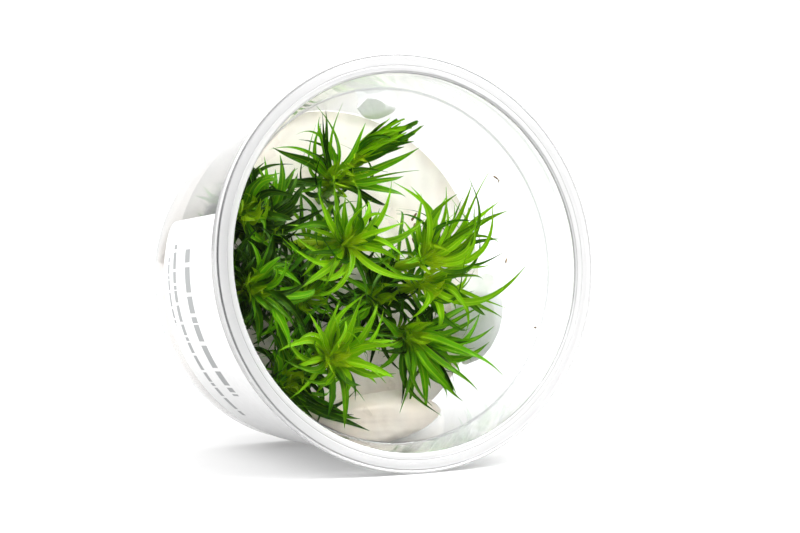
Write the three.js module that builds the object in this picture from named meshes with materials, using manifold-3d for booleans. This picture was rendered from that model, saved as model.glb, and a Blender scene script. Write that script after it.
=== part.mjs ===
// Rosette plantlets grown in culture gel in a clear cup with a snap-on lid, lying on its side.
// Millimetres, +Z up, the mouth of the cup faces -Y. The origin is on the floor, under the middle of it.
//
// Everything is built upright first: the axis is +Z, the base is at z = 0 and the mouth at z = HEIGHT.
// Depths are measured down from the mouth plane. The upright group is then laid down on the rim of the lid
// and the edge of the base, with its +X still pointing right and its +Y turned to point up.

import * as THREE from 'three';
import { mergeVertices } from 'three/addons/utils/BufferGeometryUtils.js';
import Module from 'manifold-3d';

// Cup and lid
const HEIGHT = 64.2;
const FACETS = 32;
const WALL = 0.6;
const BASE_RADIUS = 41.43;
const BASE_CHAMFER = 1.25;
const BASE_STEP_RADIUS = 31;
const BASE_STEP = 0.5;
const FLOOR_BEVEL = 0.3;
const CUP_TOP_RADIUS = 46.7;
const CUP_TOP_DEPTH = 4.2;
const RIM_TOP_DEPTH = 1.7;
const RIM_LIP_RADIUS = 47.9;
const LID_RADIUS = 50;
const LID_EDGE = 0.4;
const LID_THICKNESS = 1.1;
const LID_LIP_BACK = 1.4;
const LID_INNER_EDGE = 45.2;
const LID_INNER_BEVEL = 0.9;
const PANEL_RADIUS = 43;
const PANEL_DEPTH = 9.7;
const SKIRT_RADIUS = 48.9;
const SKIRT_DEPTH = 5.2;

// Label, a rectangle wrapped round the left and low side of the wall
const LABEL_THICKNESS = 0.25;
const LABEL_GAP = 0.2;
const LABEL_WIDTH = 77;
const LABEL_MIDDLE = THREE.MathUtils.degToRad(301);
const LABEL_FOLDS = 12;
const LABEL_TOP_DEPTH = 9;
const LABEL_BOTTOM_DEPTH = 53;

// Culture gel, whose surface wanders by GEL_RELIEF on rings at these shares of its radius
const GEL_DEPTH = 45.5;
const GEL_RELIEF = 0.6;
const GEL_RINGS = [0.35, 0.75];
const GEL_FLOOR_RADIUS = 38;
const GEL_BEVEL = 1;
const GAP = 0.3;

// Corners closer than this are made one
const WELD = 0.004;

// Leaves
const LEAF_SIDES = 3;
const LEAF_STATIONS = 3;
const LEAF_SAMPLES = 14;
const LEAF_CLEARANCE = 0.4;
const STEM_RADIUS = 1.7;
const CROWN_RADIUS = 2.8;
const STEM_SIDES = 6;
const STEM_END_DEPTH = GEL_DEPTH - GEL_RELIEF - GAP;
const LOWEST_LEAF_DEPTH = GEL_DEPTH - GEL_RELIEF - 0.9;
const HIGHEST_LEAF_DEPTH = PANEL_DEPTH + WALL + 0.9;
const WALL_CLEARANCE = 1.3;
const LUMP_CLEARANCE = 1.3;
const BLADE_THICKNESS = 0.22;
const BLADE_KEEL = 0.16;

// A leaf is [right, up, rise, arch, bow, width]: where its tip is from the crown, seen from the mouth (rise
// is towards the mouth), how far its middle arches towards the mouth, how far it bows to the left of its own
// run, and its greatest width where that isn't the plantlet's. A hub is [right, up, depth], a root is
// [right, up].
const PLANTLETS = [
  {
    name: 'plantlet_front', hub: [-4, 7, 27], root: [-9, 8], width: 2.4,
    leaves: [
      [-9, 13, 8, 3, 0], [-13, 8, 8, 5, 1], [-7, 8, 10, 2, 0], [-18, 1, 6, 6, -2], [3, 13, 8, 3, -1],
      [14, 6, 8, 3, -2], [18, 4, 9, 3, -2], [12, -2, 11, 4, 2], [9, -4, 12, 2, 0], [16, -14, 6, 4, 1],
      [-9, -12, 4, 4, 2], [-4, -12, 8, 4, 2], [-16, -9, 3, 5, 3], [-18, -6, 2, 6, 2], [15, 11, 3, 3, 0],
      [9, 0, 13, 2, 0],
    ],
  },
  {
    name: 'plantlet_right_upper', hub: [17, 2, 27], root: [13, 1], width: 2.2,
    leaves: [
      [-3, 20, 9, 2, -1], [1, 17, 10, 2, 0], [4, 17, 9, 2, 0], [6, 15, 9, 2, 0], [17, 18, 7, 3, 2],
      [15, 15, 8, 2, -1], [18, 15, 8, 3, -2], [20, 12, 9, 2, -1], [21, 12, 11, 2, -7],
      [21, 5, 12, 1, -6], [14, 6, 9, 2, -3], [-9, 1, 8, 3, 0], [-6, 9, 6, 3, 1],
    ],
  },
  {
    name: 'plantlet_right_lower', hub: [18, -3, 31], root: [17, -5], width: 2.3,
    leaves: [
      [15, 4, 9, 2, -2], [23, -3, 15, 0, -5], [19, -10, 8, 3, 1], [12, -14, 6, 3, 1],
      [15, -14, 3, 3, 1], [-1, -14, 3, 4, 0, 2.8], [-10, -2, 7, 3, -1], [-4, -10, 6, 3, 0],
      [14, -4, 8, 3, -2], [8, -9, 8, 3, 1],
    ],
  },
  {
    name: 'plantlet_low', hub: [-11, -21, 25], root: [-17, -22], width: 2.4,
    leaves: [
      [-6, 13, 9, 3, 0], [-3, 13, 10, 3, 0], [1, 16, 8, 3, 1], [4, 13, 11, 2, 1], [7, 13, 11, 2, 1],
      [9, 13, 11, 2, 0], [13, 8, 9, 3, 1], [12, 5, 11, 2, 0], [14, 0, 11, 2, 0], [13, -2, 11, 2, 0],
      [11, -5, 9, 2, 0], [13, -8, 5, 3, 0], [8, -10, 4, 3, 1], [2, -11, 3, 4, 3], [-5, -13, 0, 4, 1],
      [-3, -15, 0, 4, 1], [-12, -5, 2, 4, 0], [-13, 3, 5, 4, -2], [-15, 7, 5, 3, -2], [-3, 7, 12, 2, 0],
    ],
  },
  {
    name: 'plantlet_dark', hub: [15, -16, 34], root: [14, -15], width: 2.6,
    leaves: [
      [23, -9, 7, 3, 2], [21, -13, 7, 3, 1], [22, -14, 5, 2, -1], [20, -18, 5, 3, 0, 3.2],
      [13, -21, 6, 2, -4], [11, -19, 4, 3, 0], [10, -21, 3, 3, 0, 3], [7, -21, 3, 3, 0],
      [3, -18, 4, 3, 0], [1, -15, 2, 3, 0], [-6, -20, 2, 3, 0, 2.8], [22, -2, 7, 0, -6],
      [21, -5, 6, 1, -5], [16, -1, 5, 3, -1, 3], [18, 5, 4, 2, -2], [23, 6, 6, 2, -2],
      [13, 6, 1, 3, 0, 3], [-10, -4, 2, 4, 0], [-13, 3, 3, 4, 0],
    ],
  },
  {
    name: 'plantlet_closed', hub: [2, 27, 37], root: [1, 26], width: 2.8,
    leaves: [
      [6, 14, 12, 1, 2], [8, 14, 15, 1, 1], [10, 13.5, 16, 1, 0], [13, 12, 15, 1, -2],
      [14, 10, 13, 1, -2], [11, 9, 12, 2, -1], [7, 11, 14, 3, 0],
    ],
  },
  {
    name: 'plantlet_high', hub: [-3, 23, 34], root: [-2, 20], width: 2.3,
    leaves: [
      [-2, 19, 3, 2, 0, 2], [-8, 16, 2, 2, -3, 1.6], [-4, 17, 3, 2, -1], [-10, 13, 1, 2, 0],
      [-13, 13, 0, 2, 0], [-8, 11, 3, 2, 0], [3, 14, 5, 3, -2], [15, 13, -2, 3, -2, 1.8],
      [18, 9, -3, 3, 2], [22, 7, 4, 4, 2, 2.8], [21, -4, 1, 4, 2, 2.6], [15, -8, 3, 4, 2],
      [-17, 7, 0, 3, 1, 3.4], [-19, 0, -2, 3, 1, 2.8], [8, 6, -2, 3, 0],
    ],
  },
  {
    name: 'plantlet_left', hub: [-32, -3, 24], root: [-30, -3], width: 2.6,
    leaves: [
      [6, 11, 4, 4, 0, 3], [9, 15, 5, 4, -3], [6, -11, 6, 5, 1, 3.6], [13, -12, 6, 5, 1, 3],
      [20, -3, 2, 5, -1], [9, -16, 3, 5, 1, 2.8], [-3, 11, 6, 3, 0, 2.2], [13, 3, 4, 4, 1],
      [-2, -12, 4, 3, 0], [3, -15, 1, 4, 0], [16, -6, 1, 5, -1, 3], [11, 8, 1, 4, 1, 2.8],
      [2, 8, 8, 3, 0],
    ],
  },
  {
    name: 'plantlet_left_upper', hub: [-24, 12, 33], root: [-23, 10], width: 2.6,
    leaves: [
      [4, 18, 3, 3, 0], [1, 15, 2, 3, 0], [-4, 13, 2, 3, 0], [10, 16, -1, 3, 0, 3], [9, 6, 4, 4, 1],
      [12, -4, 3, 4, 0], [-9, 9, 3, 3, 0], [7, 12, 6, 3, 0], [13, 11, 2, 3, 0, 3], [8, -9, 4, 3, 0],
    ],
  },
  {
    name: 'plantlet_left_wall', hub: [-31, 15, 27], root: [-30, 13], width: 2.5,
    leaves: [
      [1, 14, 5, 3, 0], [4, 13, 7, 3, 0], [-4, 9, 6, 2, 0], [9, 9, 6, 4, 0], [12, -2, 5, 4, 1, 2.8],
      [5, -9, 4, 3, 0], [-1, 8, 10, 2, 0], [10, 4, 9, 3, 0],
    ],
  },
  {
    name: 'plantlet_low_left', hub: [-21, -27, 32], root: [-20, -25], width: 2.7,
    leaves: [
      [-5, 9, 6, 4, 3], [21, -13, 1, 3, 1, 3.2], [17, -13, 0, 3, 1, 3], [2, -13, 2, 3, 0],
      [-9, 6, 5, 3, 0], [-3, 15, 4, 4, 0, 3], [6, 14, 2, 4, 0],
    ],
  },
  {
    name: 'plantlet_back_centre', hub: [9, -6, 40], root: [9, -6], width: 2.2,
    leaves: [
      [-18, 2, 2, 3, 1], [-12, -9, 2, 3, 0], [3, -13, 1, 2, 0], [16, -8, 2, 2, 1], [-9, 13, 3, 3, 0],
      [4, 15, 3, 3, 0],
    ],
  },
  {
    name: 'plantlet_back_left', hub: [-11, -6, 39], root: [-11, -6], width: 2.3,
    leaves: [
      [-14, 9, 2, 3, 0], [12, -9, 1, 3, 0], [-12, -12, 2, 3, 0], [2, 14, 2, 3, 0], [10, 10, 2, 3, 1],
    ],
  },
];

// Broken gel: centre [right, up, depth], half sizes, and how far its surface wanders.
const CHUNKS = [
  { name: 'gel_chunk_right', centre: [39, -13, 41], size: [7, 12, 8], rough: 0.7, detail: 2 },
  { name: 'gel_chunk_low', centre: [6, -37, 39], size: [17, 7, 8], rough: 1.0, detail: 2 },
  { name: 'gel_bit_top', centre: [8, 41.5, 31], size: [5, 3, 4], rough: 0.4, detail: 1 },
];
const ROOT_CROWN = {
  name: 'root_crown', centre: [-2, 1.5, 42], size: [3.2, 2.6, 2.4], rough: 0.5, detail: 1,
};

const clearPlastic = new THREE.MeshStandardMaterial({
  color: 0xf2f5f5, roughness: 0.12, metalness: 0, transparent: true, opacity: 0.3,
});
const labelPaper = new THREE.MeshStandardMaterial({ color: 0xf4f4f2, roughness: 0.7, metalness: 0 });
const cultureGel = new THREE.MeshStandardMaterial({
  color: 0xe9e1cf, roughness: 0.25, metalness: 0, transparent: true, opacity: 0.7,
});
const brightLeaf = new THREE.MeshStandardMaterial({ color: 0x74a516, roughness: 0.4, metalness: 0 });
const darkLeaf = new THREE.MeshStandardMaterial({ color: 0x2b6a0c, roughness: 0.45, metalness: 0 });
const deadCrown = new THREE.MeshStandardMaterial({ color: 0x7a5b3a, roughness: 0.7, metalness: 0 });
const BRIGHT = ['plantlet_front', 'plantlet_right_upper', 'plantlet_right_lower', 'plantlet_low'];

const wasm = await Module();
wasm.setup();

function positionsOnly(geometry) {
  const bare = geometry.clone();
  bare.deleteAttribute('normal');
  bare.deleteAttribute('uv');
  return mergeVertices(bare, 1e-4);
}

function signedVolume(geometry) {
  const place = geometry.getAttribute('position');
  const index = geometry.getIndex();
  const [a, b, c] = [new THREE.Vector3(), new THREE.Vector3(), new THREE.Vector3()];
  let volume = 0;
  for (let i = 0; i < index.count; i += 3) {
    a.fromBufferAttribute(place, index.getX(i));
    b.fromBufferAttribute(place, index.getX(i + 1));
    c.fromBufferAttribute(place, index.getX(i + 2));
    volume += a.dot(b.cross(c)) / 6;
  }
  return volume;
}

function facingOut(geometry) {
  if (signedVolume(geometry) < 0) {
    const index = geometry.getIndex();
    for (let i = 0; i < index.count; i += 3) {
      const second = index.getX(i + 1);
      index.setX(i + 1, index.getX(i + 2));
      index.setX(i + 2, second);
    }
  }
  return geometry;
}

function toSolid(geometry) {
  const closed = facingOut(positionsOnly(geometry));
  return new wasm.Manifold(new wasm.Mesh({
    numProp: 3,
    vertProperties: new Float32Array(closed.getAttribute('position').array),
    triVerts: new Uint32Array(closed.getIndex().array),
  }));
}

// Keeps the outer skin of a joined solid, so that small hollows shut in between blades are filled.
function outerSkin(geometry) {
  const corners = geometry.getIndex().array;
  const leader = Array.from({ length: geometry.getAttribute('position').count }, (_, i) => i);
  const find = (i) => {
    let at = i;
    while (leader[at] !== at) {
      at = leader[at];
    }
    return at;
  };
  for (let i = 0; i < corners.length; i += 3) {
    leader[find(corners[i + 1])] = find(corners[i]);
    leader[find(corners[i + 2])] = find(corners[i]);
  }
  const skins = new Map();
  for (let i = 0; i < corners.length; i += 3) {
    const skin = find(corners[i]);
    skins.set(skin, [...(skins.get(skin) ?? []), corners[i], corners[i + 1], corners[i + 2]]);
  }
  const largest = [...skins.values()].sort((a, b) => b.length - a.length)[0];
  geometry.setIndex(largest);
  return geometry;
}

// The cut or joined solid as a geometry, with corners closer than WELD made one.
function toGeometry(solid) {
  const mesh = solid.getMesh();
  const cut = new THREE.BufferGeometry();
  cut.setAttribute('position', new THREE.BufferAttribute(mesh.vertProperties, 3));
  cut.setIndex(new THREE.BufferAttribute(mesh.triVerts, 1));
  const welded = mergeVertices(cut, WELD);
  const corners = Array.from(welded.getIndex().array);
  const kept = [];
  for (let i = 0; i < corners.length; i += 3) {
    const [a, b, c] = corners.slice(i, i + 3);
    if (a !== b && b !== c && c !== a) {
      kept.push(a, b, c);
    }
  }
  welded.setIndex(kept);
  return outerSkin(welded);
}

// Turns a profile of [radius, depth] points round the axis. A facet, not a corner, faces straight down
// when the cup lies on its side.
function revolve(profile) {
  const points = profile.map(([radius, depth]) => new THREE.Vector2(radius, HEIGHT - depth));
  return positionsOnly(new THREE.LatheGeometry(points, FACETS, Math.PI / FACETS).rotateX(Math.PI / 2));
}

// Radius of the cup's outer wall at a depth below the mouth plane.
function wallRadius(depth) {
  const low = HEIGHT - BASE_CHAMFER;
  const along = (depth - CUP_TOP_DEPTH) / (low - CUP_TOP_DEPTH);
  return THREE.MathUtils.lerp(CUP_TOP_RADIUS, BASE_RADIUS, along);
}

function makeCup() {
  const innerBase = HEIGHT - WALL;
  const profile = [
    [0, HEIGHT - BASE_STEP],
    [BASE_STEP_RADIUS, HEIGHT - BASE_STEP],
    [BASE_STEP_RADIUS + BASE_STEP, HEIGHT],
    [BASE_RADIUS - BASE_CHAMFER, HEIGHT],
    [BASE_RADIUS, HEIGHT - BASE_CHAMFER],
    [CUP_TOP_RADIUS, CUP_TOP_DEPTH],
    [CUP_TOP_RADIUS, RIM_TOP_DEPTH + WALL],
    [RIM_LIP_RADIUS - WALL, RIM_TOP_DEPTH + WALL],
    [RIM_LIP_RADIUS - WALL, CUP_TOP_DEPTH],
    [RIM_LIP_RADIUS, CUP_TOP_DEPTH],
    [RIM_LIP_RADIUS, RIM_TOP_DEPTH],
    [CUP_TOP_RADIUS - WALL, RIM_TOP_DEPTH],
    [CUP_TOP_RADIUS - WALL, CUP_TOP_DEPTH],
    [BASE_RADIUS - WALL, HEIGHT - BASE_CHAMFER],
    [BASE_RADIUS - BASE_CHAMFER - FLOOR_BEVEL, innerBase],
    [BASE_STEP_RADIUS + BASE_STEP + FLOOR_BEVEL, innerBase],
    [BASE_STEP_RADIUS + FLOOR_BEVEL, innerBase - BASE_STEP],
    [0, innerBase - BASE_STEP],
  ];
  return revolve(profile);
}

function makeLid() {
  const panelBack = PANEL_DEPTH + WALL;
  const profile = [
    [0, PANEL_DEPTH],
    [PANEL_RADIUS, PANEL_DEPTH],
    [LID_INNER_EDGE, LID_INNER_BEVEL],
    [LID_INNER_EDGE + LID_INNER_BEVEL, 0],
    [LID_RADIUS - LID_EDGE, 0],
    [LID_RADIUS, LID_EDGE],
    [LID_RADIUS, LID_LIP_BACK],
    [SKIRT_RADIUS, LID_LIP_BACK],
    [SKIRT_RADIUS, SKIRT_DEPTH],
    [SKIRT_RADIUS - WALL, SKIRT_DEPTH],
    [SKIRT_RADIUS - WALL, LID_THICKNESS],
    [LID_INNER_EDGE + WALL, LID_THICKNESS],
    [PANEL_RADIUS + WALL, panelBack],
    [0, panelBack],
  ];
  return revolve(profile);
}

// A flat strip bent round the wall. Angles are counted from straight down, through the right-hand side.
function makeLabel() {
  const strip = positionsOnly(new THREE.BoxGeometry(LABEL_WIDTH, 1, 1, LABEL_FOLDS, 1, 1));
  const place = strip.getAttribute('position');
  for (let i = 0; i < place.count; i += 1) {
    const depth = place.getZ(i) < 0 ? LABEL_TOP_DEPTH : LABEL_BOTTOM_DEPTH;
    const angle = LABEL_MIDDLE + place.getX(i) / wallRadius(depth);
    const radius = wallRadius(depth) + LABEL_GAP + (place.getY(i) > 0 ? LABEL_THICKNESS : 0);
    place.setXYZ(i, radius * Math.sin(angle), -radius * Math.cos(angle), HEIGHT - depth);
  }
  return strip;
}

// Three crossed waves that wander smoothly in -1..1, the same for the same place.
function wander(x, y, z) {
  const first = Math.sin(0.31 * x + 1.7);
  const second = Math.sin(0.27 * y - 0.6 * Math.cos(0.19 * x));
  const third = Math.sin(0.41 * z + 0.23 * x);
  return (first + second + third) / 3;
}

function roomRadius(depth) {
  return wallRadius(depth) - WALL - GAP;
}

function makeGel() {
  const low = HEIGHT - BASE_CHAMFER - GEL_BEVEL;
  const floor = HEIGHT - BASE_STEP - WALL - GAP;
  const rings = GEL_RINGS.map((share) => [share * roomRadius(GEL_DEPTH), GEL_DEPTH]);
  const disc = revolve([
    [0, GEL_DEPTH],
    ...rings,
    [roomRadius(GEL_DEPTH), GEL_DEPTH],
    [roomRadius(low), low],
    [GEL_FLOOR_RADIUS, floor],
    [0, floor],
  ]);
  const lastRing = GEL_RINGS.at(-1) * roomRadius(GEL_DEPTH);
  const place = disc.getAttribute('position');
  const spot = new THREE.Vector3();
  for (let i = 0; i < place.count; i += 1) {
    spot.fromBufferAttribute(place, i);
    const inside = Math.hypot(spot.x, spot.y) < lastRing + WELD;
    if (inside && spot.z > HEIGHT - GEL_DEPTH - WELD) {
      place.setZ(i, spot.z + GEL_RELIEF * wander(spot.x, spot.y, 0));
    }
  }
  return disc;
}

function upright([right, up, depth]) {
  return new THREE.Vector3(right, up, HEIGHT - depth);
}

function makeLump({ centre, size, rough, detail }) {
  const lump = positionsOnly(new THREE.IcosahedronGeometry(1, detail));
  const place = lump.getAttribute('position');
  const spot = new THREE.Vector3();
  const middle = upright(centre);
  for (let i = 0; i < place.count; i += 1) {
    spot.fromBufferAttribute(place, i);
    spot.multiply(new THREE.Vector3(...size));
    const swell = 1 + (rough * wander(3 * spot.x, 3 * spot.y, 3 * spot.z)) / spot.length();
    spot.multiplyScalar(swell).add(middle);
    place.setXYZ(i, spot.x, spot.y, spot.z);
  }
  const room = toSolid(revolve([
    [0, HIGHEST_LEAF_DEPTH],
    [roomRadius(HIGHEST_LEAF_DEPTH), HIGHEST_LEAF_DEPTH],
    [roomRadius(STEM_END_DEPTH), STEM_END_DEPTH],
    [0, STEM_END_DEPTH],
  ]));
  return toGeometry(toSolid(lump).intersect(room));
}

// The centre line of a leaf: out of the crown, over its arch and to its tip. Older leaves, which rise
// less, grow from lower on the crown.
function leafLine(hub, [right, up, rise, arch, bow], scale) {
  const run = Math.hypot(right, up) || 1;
  const attach = THREE.MathUtils.clamp(0.2 * (rise - 8), -1.4, 0.6);
  const start = upright(hub).add(new THREE.Vector3(0.8 * right / run, 0.8 * up / run, attach));
  const tip = upright(hub).add(new THREE.Vector3(right, up, rise).multiplyScalar(scale));
  const middle = upright(hub).add(new THREE.Vector3(
    scale * 0.45 * right - (bow * up) / run,
    scale * 0.45 * up + (bow * right) / run,
    scale * 0.5 * rise + arch,
  ));
  return new THREE.QuadraticBezierCurve3(start, middle, tip);
}

// Half the blade's width along its length, from 0 at the crown to 1 at the tip.
function halfWidth(t, width) {
  const widening = Math.min(1, 0.4 + 2.4 * t);
  const tapering = 1 - Math.max(0, (t - 0.3) / 0.7) ** 1.5;
  return (width / 2) * widening * tapering;
}

function samplesOf(line, width) {
  return line.getPoints(LEAF_SAMPLES).map((point, i) => ({
    point,
    radius: Math.max(0.35, halfWidth(i / LEAF_SAMPLES, width)),
  }));
}

function insideCup({ point }) {
  const depth = HEIGHT - point.z;
  const reach = Math.hypot(point.x, point.y);
  return depth > HIGHEST_LEAF_DEPTH && depth < LOWEST_LEAF_DEPTH
    && reach < (wallRadius(depth) - WALL) * Math.cos(Math.PI / FACETS) - WALL_CLEARANCE;
}

function clearOfLumps({ point }) {
  return [...CHUNKS, ROOT_CROWN].every(({ centre, size, rough }) => {
    const from = point.clone().sub(upright(centre));
    const room = LUMP_CLEARANCE + rough;
    return from.divide(new THREE.Vector3(...size).addScalar(room)).length() > 1;
  });
}

function clearOfPlants(samples, others) {
  return samples.every(({ point, radius }) => others.every((other) => (
    point.distanceTo(other.point) > radius + other.radius + LEAF_CLEARANCE
  )));
}

// A leaf keeps its place seen from the mouth and is lifted or sunk until it is clear of the other
// plantlets. Only where that isn't enough is it made shorter.
const LEAF_SCALES = [1, 0.9, 0.8, 0.7, 0.6];
const LEAF_SHIFTS = [0, 1.5, -1.5, 3, -3, 4.5, -4.5, 6, -6, 8, -8];

function settle(hub, leaf, width, others) {
  for (const scale of LEAF_SCALES) {
    for (const shift of LEAF_SHIFTS) {
      const moved = [leaf[0], leaf[1], leaf[2] + shift, leaf[3] + shift / 4, leaf[4]];
      const line = leafLine(hub, moved, scale);
      const samples = samplesOf(line, width);
      if (samples.every(insideCup) && samples.every(clearOfLumps) && clearOfPlants(samples, others)) {
        return { line, samples, width };
      }
    }
  }
  return null;
}

// A blade is a slender cone bent along its centre line: flat above, keeled below.
function makeBlade({ line, width }) {
  const blade = positionsOnly(new THREE.ConeGeometry(1, 1, LEAF_SIDES, LEAF_STATIONS));
  const place = blade.getAttribute('position');
  const axis = new THREE.Vector3(0, 0, 1);
  const outward = line.getPoint(1).sub(line.getPoint(0)).setZ(0).normalize();
  const across = axis.clone().cross(outward);
  for (let i = 0; i < place.count; i += 1) {
    const t = THREE.MathUtils.clamp(place.getY(i) + 0.5, 0, 1);
    const tangent = line.getTangent(t);
    const side = across.clone().addScaledVector(tangent, -across.dot(tangent)).normalize();
    const above = side.clone().cross(tangent).negate();
    const spot = line.getPoint(t);
    if (t < 1) {
      const size = halfWidth(t, width);
      const spread = (size * place.getX(i)) / ((1 - t) * Math.sin(Math.PI / LEAF_SIDES));
      const lift = (-place.getZ(i) / (1 - t)) * (BLADE_THICKNESS * size + BLADE_KEEL * (1 - t));
      spot.addScaledVector(side, spread).addScaledVector(above, lift);
    }
    place.setXYZ(i, spot.x, spot.y, spot.z);
  }
  return toSolid(blade);
}

function stemLine({ hub, root }) {
  const foot = upright([root[0], root[1], STEM_END_DEPTH]);
  const top = upright(hub);
  const middle = foot.clone().lerp(top, 0.5);
  middle.x = THREE.MathUtils.lerp(foot.x, top.x, 0.3);
  middle.y = THREE.MathUtils.lerp(foot.y, top.y, 0.3);
  return new THREE.QuadraticBezierCurve3(foot, middle, top);
}

function stemSamples(plantlet) {
  const stem = stemLine(plantlet).getPoints(LEAF_SAMPLES)
    .map((point) => ({ point, radius: STEM_RADIUS }));
  return [...stem, { point: upright(plantlet.hub), radius: CROWN_RADIUS }];
}

function makeStem(plantlet) {
  const line = stemLine(plantlet);
  const tube = new THREE.CylinderGeometry(0.8 * STEM_RADIUS, STEM_RADIUS, 1, STEM_SIDES, 2);
  const stem = positionsOnly(tube);
  const place = stem.getAttribute('position');
  for (let i = 0; i < place.count; i += 1) {
    const spot = line.getPoint(place.getY(i) + 0.5);
    place.setXYZ(i, spot.x + place.getX(i), spot.y - place.getZ(i), spot.z);
  }
  const crown = new THREE.SphereGeometry(CROWN_RADIUS, STEM_SIDES, 4)
    .rotateX(Math.PI / 2)
    .translate(...upright(plantlet.hub).toArray());
  return toSolid(stem).add(toSolid(crown));
}

function makePlantlets() {
  const stems = PLANTLETS.map(stemSamples);
  const placed = [];
  return PLANTLETS.map((plantlet, number) => {
    const others = [...placed, ...stems.filter((_, i) => i !== number).flat()];
    const leaves = plantlet.leaves
      .map((leaf) => settle(plantlet.hub, leaf, leaf[5] ?? plantlet.width, others))
      .filter((leaf) => leaf !== null);
    leaves.forEach((leaf) => placed.push(...leaf.samples));
    const whole = leaves.reduce((solid, leaf) => solid.add(makeBlade(leaf)), makeStem(plantlet));
    return { name: plantlet.name, geometry: toGeometry(whole) };
  });
}

function piece(name, geometry, material) {
  const mesh = new THREE.Mesh(facingOut(geometry), material);
  mesh.name = name;
  return mesh;
}

// The lying cup rests on the back corner of the lid's lip and the corner above the base chamfer.
const restTilt = Math.atan2(
  (LID_RADIUS - BASE_RADIUS) * Math.cos(Math.PI / FACETS),
  HEIGHT - BASE_CHAMFER - LID_LIP_BACK,
);

const cup = new THREE.Group();
cup.add(piece('cup', makeCup(), clearPlastic));
cup.add(piece('lid', makeLid(), clearPlastic));
cup.add(piece('label', makeLabel(), labelPaper));
cup.add(piece('gel', makeGel(), cultureGel));
CHUNKS.forEach((chunk) => cup.add(piece(chunk.name, makeLump(chunk), cultureGel)));
cup.add(piece(ROOT_CROWN.name, makeLump(ROOT_CROWN), deadCrown));
makePlantlets().forEach(({ name, geometry }) => {
  cup.add(piece(name, geometry, BRIGHT.includes(name) ? brightLeaf : darkLeaf));
});
cup.rotation.x = Math.PI / 2 - restTilt;

const object = new THREE.Group();
object.add(cup);
object.updateMatrixWorld(true);
const box = new THREE.Box3().setFromObject(object, true);
const middle = box.getCenter(new THREE.Vector3());
object.position.set(-middle.x, -middle.y, -box.min.z);
object.updateMatrixWorld(true);

export default object;
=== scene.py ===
from collections import namedtuple
import math

import bmesh
import bpy
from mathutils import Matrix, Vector
import numpy as np


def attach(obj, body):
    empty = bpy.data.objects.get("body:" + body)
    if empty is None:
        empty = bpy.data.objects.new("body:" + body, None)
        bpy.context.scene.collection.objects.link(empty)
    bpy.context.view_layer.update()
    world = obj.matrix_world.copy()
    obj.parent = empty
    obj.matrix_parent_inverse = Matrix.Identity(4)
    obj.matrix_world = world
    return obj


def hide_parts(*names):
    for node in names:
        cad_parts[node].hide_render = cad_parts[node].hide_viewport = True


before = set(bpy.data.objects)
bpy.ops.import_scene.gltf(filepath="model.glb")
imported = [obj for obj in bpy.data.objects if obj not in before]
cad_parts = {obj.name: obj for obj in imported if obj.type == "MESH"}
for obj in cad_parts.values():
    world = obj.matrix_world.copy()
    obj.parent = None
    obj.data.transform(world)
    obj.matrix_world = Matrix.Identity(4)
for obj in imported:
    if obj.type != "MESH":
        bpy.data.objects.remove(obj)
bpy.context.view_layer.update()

# Rosette plantlets on culture gel in a clear cup with a snap-on lid, lying on its side.
#
# Everything is worked out in the upright cup, in mm: x to the right, y up, z from the base to the mouth, with
# depths counted down from the mouth plane. lay() turns such points into the lying cup's place, in metres.

MM = 0.001
TINY = 1e-9

# Cup and lid. The solids' rings have FACETS flat sides. ROUND brings the radius of their corners in to the
# flats, so that the smooth rings here lie inside the faceted ones. The wall has a ring of points at each
# depth in WALL_RINGS. LID_EDGE is the chamfer of the solids' lid, and LID_ROUNDING takes its place here.
HEIGHT = 64.2
FACETS = 32
ROUND = math.cos(math.pi / FACETS)
SEGMENTS = 192
WALL = 0.6
BASE_RADIUS = 41.43
BASE_CHAMFER = 1.25
BASE_STEP_RADIUS = 31.0
BASE_STEP = 0.5
CUP_TOP_RADIUS = 46.7
CUP_TOP_DEPTH = 4.2
RIM_TOP_DEPTH = 1.7
RIM_LIP_RADIUS = 47.9
WALL_RINGS = (54, 44, 34, 27, 20, 13, 8)
LID_RADIUS = 50.0
LID_EDGE = 0.4
LID_ROUNDING = 0.25
LID_THICKNESS = 1.1
LID_LIP_BACK = 1.4
LID_GROOVE = 49.3
LID_GROOVE_HALF = 0.25
LID_GROOVE_DEEP = 0.2
LID_FLAT_MIDDLE = 47.7
LID_INNER_EDGE = 45.2
LID_INNER_BEVEL = 0.4
LID_INNER_BEVEL_DEEP = 0.5
FINE_GROOVE = LID_INNER_EDGE + 1.75
FINE_GROOVE_SIZE = 0.15
PANEL_RADIUS = 43.0
PANEL_DEPTH = 9.7
PANEL_BEVEL = 0.8
PANEL_FLARE = 0.2
MILKY_DEPTH = 9
SKIRT_RADIUS = 48.9
SKIRT_DEPTH = 5.2

# The lying cup rests on the back edge of the lid's lip and on the edge over the base's chamfer. BASE_MIDDLE
# is how far back and how high the middle of the base then is, with the whole centred over the origin.
TILT = math.atan2((LID_RADIUS - BASE_RADIUS) * ROUND, HEIGHT - BASE_CHAMFER - LID_LIP_BACK)
FRONT_TO_FOOT = (LID_RADIUS - LID_EDGE) - (BASE_RADIUS - BASE_CHAMFER)
BASE_MIDDLE = (
    (math.cos(TILT) * HEIGHT + math.sin(TILT) * FRONT_TO_FOOT * ROUND) / 2,
    math.cos(TILT) * LID_RADIUS * ROUND - math.sin(TILT) * (HEIGHT - LID_LIP_BACK),
)

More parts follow.
